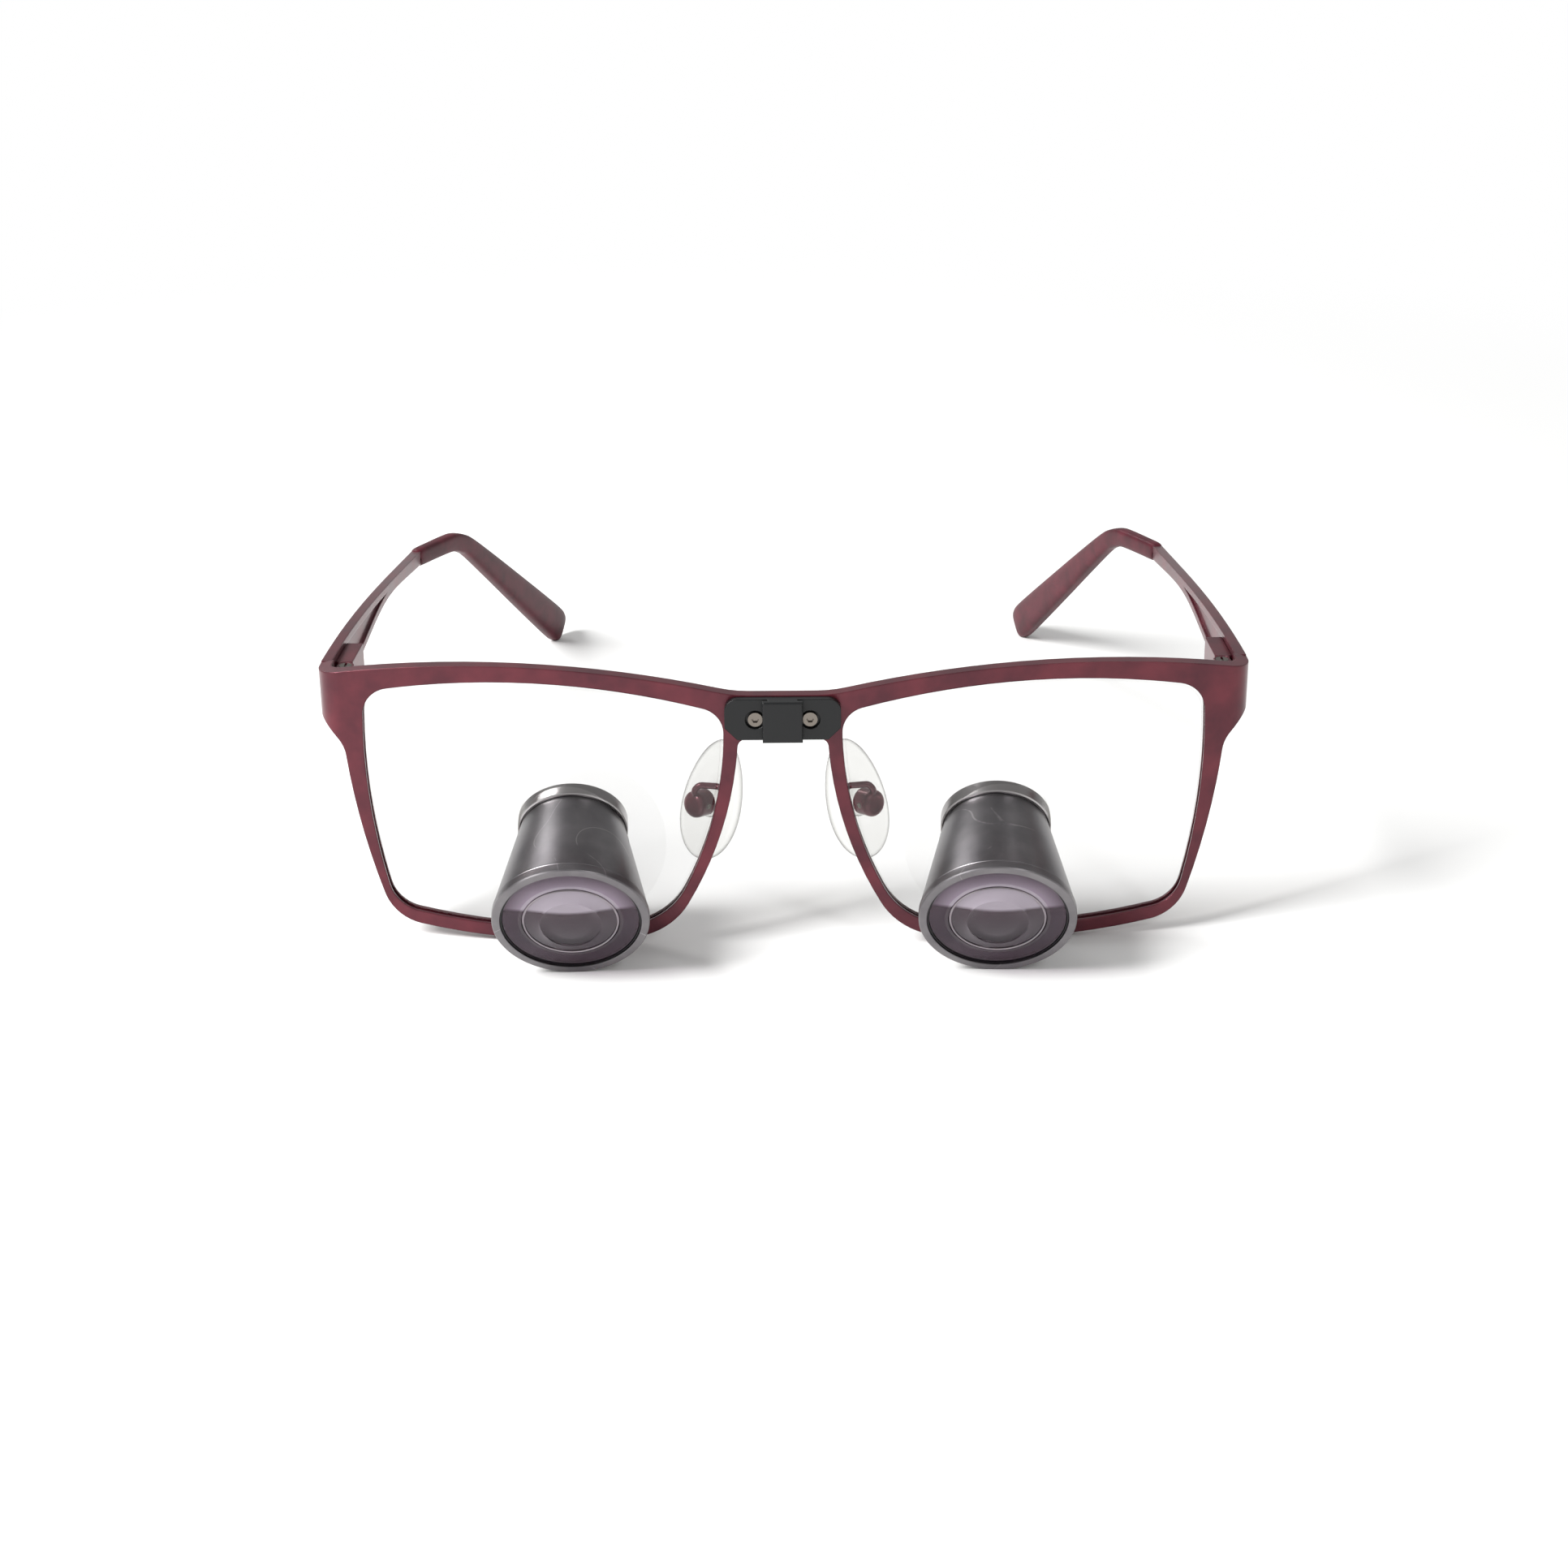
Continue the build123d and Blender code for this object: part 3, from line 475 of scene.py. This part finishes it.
# Polycarbonate, moulded clear: a hard disc seen through the softer pad
clearCore = clearMaterial(
    "polycarbonate core, moulded clear", ior=1.586, roughness=0.08,
    clear="#f6f6f5", edge="#b9b8b6", edgeStart=0.5,
)
# Silicone, moulded clear: almost unseen, with a grey outline where its skin turns away
clearSilicone = clearMaterial(
    "silicone, moulded clear", ior=1.41, roughness=0.1,
    clear="#f6f6f5", edge="#8f8d8b", edgeStart=0.35,
)
# Polycarbonate, moulded and hard-coated: clean reflections and a faint line at the edge
carrierGlass = clearMaterial(
    "polycarbonate lens, hard-coated", ior=1.52, roughness=0.0,
    clear="#f7f7f7", edge="#bdbab6", edgeStart=0.6,
)
# Optical glass with a violet coating: the coating takes away nearly all the glare, which an IOR
# close to 1 stands for, and leaves a faint violet tint
coatedGlass = clearMaterial(
    "optical glass, violet coating", ior=1.02, roughness=0.02,
    clear="#f3eff3", edge="#c3b6c0", edgeStart=0.6, gloss="#dcd2ee",
)

# CAD nodes that are shown as they are: the others are replaced by the pieces further down
finishes = {
    "front_frame": burgundyLacquer,
    "front_hinge": burgundyLacquer,
    "temple": burgundyLacquer,
    "temple_hinge": burgundyLacquer,
    "pad_arm": burgundyLacquer,
    "carrier_lens": carrierGlass,
    "objective_seal": blackPlastic,
    "hinge_screw": nickelSteel,
    "pad_screw": nickelSteel,
    "pad_core": clearCore,
    "light_rail": blackAnodising,
    "rail_screws": nickelSteel,
    "rail_nut_plate": nickelSteel,
}
for nodeName, node in nodes.items():
    plainName = nodeName.removesuffix("_left").removesuffix("_right")
    if plainName in finishes:
        dressNode(node, finishes[plainName])
print("loupes: CAD nodes dressed")


def finishPiece(name, side, shell, material, body, sharpAngle, node=None):
    mesh = bpy.data.meshes.new(name)
    shell.to_mesh(mesh)
    shell.free()
    mesh.materials.append(material)
    mesh.shade_smooth()
    mesh.set_sharp_from_angle(angle=math.radians(sharpAngle))
    piece = bpy.data.objects.new(f"{name}_{side}", mesh)
    bpy.context.collection.objects.link(piece)
    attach(piece, body)
    if node:
        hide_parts(f"{node}_{side}")


# Turned pieces of the telescope. Each form is a section of named runs of points, and a point is
# a radius and a length back from the objective's face, in millimetres.
def turnedPiece(name, side, form, material, node=None, sharpAngle=25):
    profile = [point for run in form.values() for point in run]
    segments = scope["segments"]
    shell = bmesh.new()
    rings = []
    for step in range(segments):
        angle = 2 * math.pi * step / segments
        rings.append([
            shell.verts.new((r * mm * math.cos(angle), r * mm * math.sin(angle), s * mm))
            for r, s in profile
        ])
    for step, ring in enumerate(rings):
        following = rings[(step + 1) % segments]
        for i in range(len(profile)):
            j = (i + 1) % len(profile)
            shell.faces.new((ring[i], following[i], following[j], ring[j]))
    bmesh.ops.remove_doubles(shell, verts=shell.verts, dist=weldReach)
    bmesh.ops.dissolve_degenerate(shell, edges=shell.edges, dist=weldReach)
    bmesh.ops.recalc_face_normals(shell, faces=shell.faces)
    shell.transform(scopePlace(sides[side]))
    finishPiece(name, side, shell, material, "front", sharpAngle, node)


# Barrel, turned with its rim ring, which a thread of shadow sets off from the cone
barrelForm = {
    "mouth": ((10.55, 0.08), (10.62, 0)),
    "rim": ((11.5, 0), (11.68, 0.07), (11.8, 0.25), (11.8, 1.35), (11.77, 1.45)),
    "shadow": ((11.66, 1.5), (11.7, 1.62)),
    "cone": ((8.13, 17.82), (8.04, 17.98)),
    "shoulder": ((7.9, 18.05), (7.75, 18.1)),
    "tube": ((7.75, 20.6), (6.3, 20.6)),
    "bore": ((9.5, 5.9), (10.55, 5.9)),
}
# Ring that holds the barrel in the lens
ringForm = {
    "front": ((7.8, 18.55), (8.2, 18.45), (8.4, 18.6)),
    "outside": ((8.44, 19.5), (8.4, 20.55)),
    "back": ((8.2, 20.7), (7.8, 20.7)),
}
# Front element of the objective, which bulges out of the rim on an arc of about 26 mm radius
frontForm = {
    "dome": (
        (0, -2.02), (1.3, -1.99), (2.6, -1.89), (3.9, -1.73), (5.2, -1.49), (6.5, -1.19),
        (7.8, -0.83), (9.0, -0.42), (9.8, -0.1),
    ),
    "edge": ((10.2, 0.08), (10.2, 0.3)),
    "back": ((0, 0.35),),
}
# Glass behind it, stepped where its two elements meet. The steps catch the light as arcs.
wellForm = {
    "edge": ((10.2, 0.5), (9.7, 0.55)),
    "outerStep": ((7.4, 0.25), (7.3, 0.4)),
    "slope": ((6.4, 0.2), (4.9, -0.1)),
    "innerStep": ((4.75, -0.22), (4.6, -0.3), (4.45, -0.2)),
    "middle": ((3, -0.45), (1.5, -0.64), (0, -0.7)),
    "back": ((0, 5.8), (10.2, 5.8)),
}
# Bright lip of the inner element, seen as an arc at each side
lipForm = {
    "outside": ((7.22, 0.5), (7.22, 0.2)),
    "top": ((7.1, 0.1), (6.95, 0.18)),
    "inside": ((6.95, 0.5),),
}
# Blackened cone between the objective and the eyepiece
baffleForm = {
    "outside": ((9.4, 6.0), (6.75, 17.4)),
    "inside": ((6.3, 17.4), (8.95, 6.0)),
}
# Ring that keeps the eyepiece in
retainerForm = {
    "outside": ((6.7, 19.6), (6.7, 20.45)),
    "face": ((6.6, 20.5), (6.1, 20.5)),
    "opening": ((5.6, 20.1), (5.6, 19.6)),
}
# Eyepiece, hollow on its back
eyepieceForm = {
    "front": ((0, 18.55), (2, 18.43), (4, 18.07), (5.7, 17.55)),
    "edge": ((6.7, 17.55), (6.7, 19.55)),
    "back": ((5.7, 19.55), (4, 19.07), (2, 18.73), (0, 18.6)),
}

for side, sign in sides.items():
    turnedPiece("telescope_barrel", side, barrelForm, greyTitanium, "scope_barrel")
    turnedPiece("telescope_ring", side, ringForm, ringTitanium, "scope_collar")
    turnedPiece("objective_front", side, frontForm, coatedGlass, "objective_crown_lens")
    turnedPiece(
        "objective_well", side, wellForm, blackedGlassWithPaintedReflection(sign), "objective_flint_lens",
        sharpAngle=60,
    )
    turnedPiece("objective_lip", side, lipForm, ringTitanium)
    turnedPiece("telescope_baffle", side, baffleForm, mattBlack, "scope_baffle")
    turnedPiece("telescope_retainer", side, retainerForm, blackAnodising, "eyepiece_retainer")
    turnedPiece("telescope_eyepiece", side, eyepieceForm, coatedGlass, "eyepiece_lens")
print("loupes: telescopes turned")


# Smooth cubic curve through the stations, so that each of their sizes changes softly
def throughStations(stations, steps):
    rows = []
    for i in range(len(stations) - 1):
        before, start = stations[max(i - 1, 0)], stations[i]
        end, after = stations[i + 1], stations[min(i + 2, len(stations) - 1)]
        for step in range(steps):
            t = step / steps
            rows.append([
                0.5 * (
                    2 * b + (c - a) * t + (2 * a - 5 * b + 4 * c - d) * t * t
                    + (3 * b - 3 * c + d - a) * t ** 3
                )
                for a, b, c, d in zip(before, start, end, after)
            ])
    return rows + [list(stations[-1])]


# Piece skinned over rings of points and closed at both ends
def skinnedPiece(name, side, rings, material, body, node, sharpAngle=50):
    shell = bmesh.new()
    rows = [[shell.verts.new(point) for point in ring] for ring in rings]
    for row, following in zip(rows, rows[1:]):
        for i in range(len(row)):
            j = (i + 1) % len(row)
            shell.faces.new((row[i], row[j], following[j], following[i]))
    shell.faces.new(rows[0])
    shell.faces.new(list(reversed(rows[-1])))
    bmesh.ops.remove_doubles(shell, verts=shell.verts, dist=weldReach)
    bmesh.ops.recalc_face_normals(shell, faces=shell.faces)
    finishPiece(name, side, shell, material, body, sharpAngle, node)


# Temple tips: acetate pushed over the core wire, slim at the seam and wider to its rounded end.
# A station is the way along the tip, the height above the table, and the section's two sizes.
tip = {
    "seam": (66.0, 87.96),  # beside the middle line, and behind the bridge
    "turn": 21.5,
    "squareness": 3.4,
    "ringPoints": 40,
    "stationSteps": 5,
    "stations": (
        (-0.2, 34.1, 2.5, 1.7),
        (0.4, 34.08, 3.15, 2.25),
        (5.0, 33.72, 3.2, 2.4),
        (10.7, 33.2, 3.25, 2.5),
        (13.4, 32.75, 3.35, 2.5),
        (16.2, 31.7, 3.45, 2.55),
        (19.2, 29.95, 3.6, 2.6),
        (27.0, 23.95, 4.4, 2.65),
        (37.0, 16.05, 5.4, 2.7),
        (46.5, 8.55, 6.25, 2.7),
        (52.3, 3.98, 6.55, 2.7),
        (54.1, 2.55, 6.1, 2.5),
        (54.9, 1.9, 5.1, 2.1),
        (55.2, 1.65, 3.6, 1.3),
    ),
}


# Half a size of the section in the direction of a cosine or sine, squarer than an ellipse
def squaredReach(share, size):
    return math.copysign(abs(share) ** (2 / tip["squareness"]), share) * size / 2


def templeTip(side, sign):
    turn = math.radians(tip["turn"])
    along = Vector((-sign * math.sin(turn), math.cos(turn), 0))
    outward = Vector((sign * math.cos(turn), math.sin(turn), 0))
    seamX, seamY = tip["seam"]
    start = Vector((sign * seamX, bridgeY + seamY, 0))
    rows = throughStations(tip["stations"], tip["stationSteps"])
    rings = []
    for i, (x, z, height, thickness) in enumerate(rows):
        before, after = rows[max(i - 1, 0)], rows[min(i + 1, len(rows) - 1)]
        slope = math.atan2(after[1] - before[1], after[0] - before[0])
        upward = Vector((0, 0, math.cos(slope))) - along * math.sin(slope)
        ring = []
        for step in range(tip["ringPoints"]):
            angle = 2 * math.pi * step / tip["ringPoints"]
            high = squaredReach(math.cos(angle), height)
            wide = squaredReach(math.sin(angle), thickness)
            point = start + along * x + Vector((0, 0, z)) + upward * high + outward * wide
            ring.append(point * mm)
        rings.append(ring)
    skinnedPiece(
        "acetate_tip", side, rings, burgundyAcetate, f"temple_arm_{side}", "temple_tip",
    )


# Nose pads: soft clear silicone, drop-shaped, domed to the nose, with a seat for the core's disc
pad = {
    "centre": (11.0, 8.6, 21.2),
    "splay": 40.0,
    "lean": 12.0,
    "halfWidth": 5.5,
    "halfHeight": 10.2,
    "drop": 0.16,  # share by which the foot is wider and the head narrower
    "ringPoints": 64,
    "seatRadius": 2.65,
    "seatFloor": 0.38,
    "seatMouth": 1.05,
    "seatRound": 0.1,
    "seatStart": 0.05,  # the floor's first ring, just off its middle
    # share of the outline, and height from the middle towards the arm
    "skin": (
        (0.72, 1.12), (0.86, 1.12), (0.94, 0.98), (0.985, 0.68), (1.0, 0.25), (0.995, -0.2),
        (0.96, -0.66), (0.88, -1.0), (0.74, -1.2), (0.5, -1.36), (0.25, -1.44), (0.02, -1.46),
    ),
}


def nosePad(side, sign):
    splay, lean = math.radians(pad["splay"]), math.radians(pad["lean"])
    across = Vector((sign * math.cos(splay), math.sin(splay), 0))
    upward = Vector((-sign * math.sin(lean), 0, math.cos(lean)))
    lift = across.cross(upward).normalized() * sign
    x, y, z = pad["centre"]
    centre = Vector((sign * x, bridgeY + y, z))
    turns = [2 * math.pi * step / pad["ringPoints"] for step in range(pad["ringPoints"])]

    def ringOf(halfWidth, halfHeight, drop, height):
        ring = []
        for t in turns:
            a = halfWidth * math.sin(t) * (1 - drop * math.cos(t))
            b = halfHeight * math.cos(t)
            ring.append((centre + across * a + upward * b + lift * height) * mm)
        return ring

    seat, seatFloor = pad["seatRadius"], pad["seatFloor"]
    seatMouth, seatRound = pad["seatMouth"], pad["seatRound"]
    seatSteps = (
        (pad["seatStart"], seatFloor), (seat - seatRound, seatFloor),
        (seat, seatFloor + seatRound), (seat, seatMouth),
        (seat + seatRound, seatMouth + seatRound),
    )
    rings = [ringOf(radius, radius, 0, height) for radius, height in seatSteps]
    rings += [
        ringOf(share * pad["halfWidth"], share * pad["halfHeight"], pad["drop"], height)
        for share, height in pad["skin"]
    ]
    skinnedPiece("silicone_pad", side, rings, clearSilicone, f"pad_{side}", "nose_pad")


for side, sign in sides.items():
    templeTip(side, sign)
    nosePad(side, sign)
print("loupes: tips and nose pads made")


# Floor: a paper sweep, in metres. Near the object it takes the shadows, and further out it is
# plain white to the camera, in reflections and through what refracts.
sweep = {
    "size": 4.0,
    "middleY": 1.0,
    "colour": "#f1f1f0",
    "whiteFrom": 0.16,
    "whiteTo": 0.42,
}


def whitePaper():
    material, tree = newMaterial("paper, matt white")
    matt = addNode(tree, "ShaderNodeBsdfDiffuse", Color=linearColour(sweep["colour"]))
    white = addNode(tree, "ShaderNodeEmission", Strength=1.0)
    position = addNode(tree, "ShaderNodeNewGeometry").outputs["Position"]
    reach = addNode(tree, "ShaderNodeVectorMath", {0: position}, operation="LENGTH")
    fade = addNode(
        tree, "ShaderNodeMapRange", {"Value": reach.outputs["Value"]},
        interpolation_type="SMOOTHSTEP",
        From_Min=sweep["whiteFrom"], From_Max=sweep["whiteTo"],
    )
    ray = addNode(tree, "ShaderNodeLightPath")
    seen = ray.outputs["Is Camera Ray"]
    for kind in ("Is Glossy Ray", "Is Transmission Ray"):
        either = addNode(
            tree, "ShaderNodeMath", {0: seen, 1: ray.outputs[kind]}, operation="MAXIMUM",
        )
        seen = either.outputs[0]
    amount = addNode(tree, "ShaderNodeMath", {0: seen, 1: fade.outputs[0]}, operation="MULTIPLY")
    mix = addNode(
        tree, "ShaderNodeMixShader",
        {0: amount.outputs[0], 1: matt.outputs[0], 2: white.outputs[0]},
    )
    finishMaterial(tree, mix)
    return material


bpy.ops.mesh.primitive_plane_add(size=sweep["size"], location=(0, sweep["middleY"], 0))
floor = bpy.context.object
floor.name = "floor"
floor.data.materials.append(whitePaper())

# Camera, fitted to the picture: a short telephoto, looking down at the front. Its place is in
# the frame's millimetres, and its lens and sensor in their own.
view = {
    "place": (4.221, -456.624, 197.388),
    "pitch": 23.270,
    "yaw": 0.600,
    "roll": -0.623,
    "focalLength": 65.45,
    "sensorWidth": 36.0,
}
cameraData = bpy.data.cameras.new("camera")
cameraData.lens = view["focalLength"]
cameraData.sensor_width = view["sensorWidth"]
camera = bpy.data.objects.new("camera", cameraData)
camera.location = Vector(view["place"]) * mm
camera.rotation_euler = (
    Matrix.Rotation(math.radians(view["yaw"]), 3, "Z")
    @ Matrix.Rotation(math.radians(90 - view["pitch"]), 3, "X")
    @ Matrix.Rotation(math.radians(view["roll"]), 3, "Z")
).to_euler()
bpy.context.collection.objects.link(camera)
bpy.context.scene.camera = camera

# Light: a soft box at the left and a little in front, a small window, and a tall strip behind at
# the left that draws the line along the barrels. Places and sizes are in metres, power in watts.
lamps = {
    "key": {"place": (-0.8, -0.42, 0.8), "width": 0.38, "height": 0.55, "power": 21.0},
    "window": {"place": (0.35, -0.55, 0.55), "width": 0.12, "height": 0.16, "power": 0.8},
    "strip": {"place": (-0.4, 0.64, 0.6), "width": 0.11, "height": 0.5, "power": 1.3},
}
lampTarget = Vector((0, 0, 0.02))  # a little above the table, in the middle of the object
for name, lampSizes in lamps.items():
    lampData = bpy.data.lights.new(name, "AREA")
    lampData.shape = "RECTANGLE"
    lampData.size = lampSizes["width"]
    lampData.size_y = lampSizes["height"]
    lampData.energy = lampSizes["power"]
    lamp = bpy.data.objects.new(name, lampData)
    lamp.location = lampSizes["place"]
    lamp.visible_camera = False
    aim = lampTarget - Vector(lampSizes["place"])
    lamp.rotation_euler = aim.to_track_quat("-Z", "Y").to_euler()
    bpy.context.collection.objects.link(lamp)

# Pale room around, which fills the shadows
room = {"colour": "#ffffff", "strength": 0.42}
world = bpy.data.worlds.new("room")
bpy.context.scene.world = world
world.use_nodes = True
backdrop = world.node_tree.nodes["Background"]
backdrop.inputs["Color"].default_value = linearColour(room["colour"])
backdrop.inputs["Strength"].default_value = room["strength"]
bpy.context.scene.view_settings.view_transform = "Standard"
print("loupes: floor, camera and lamps set")
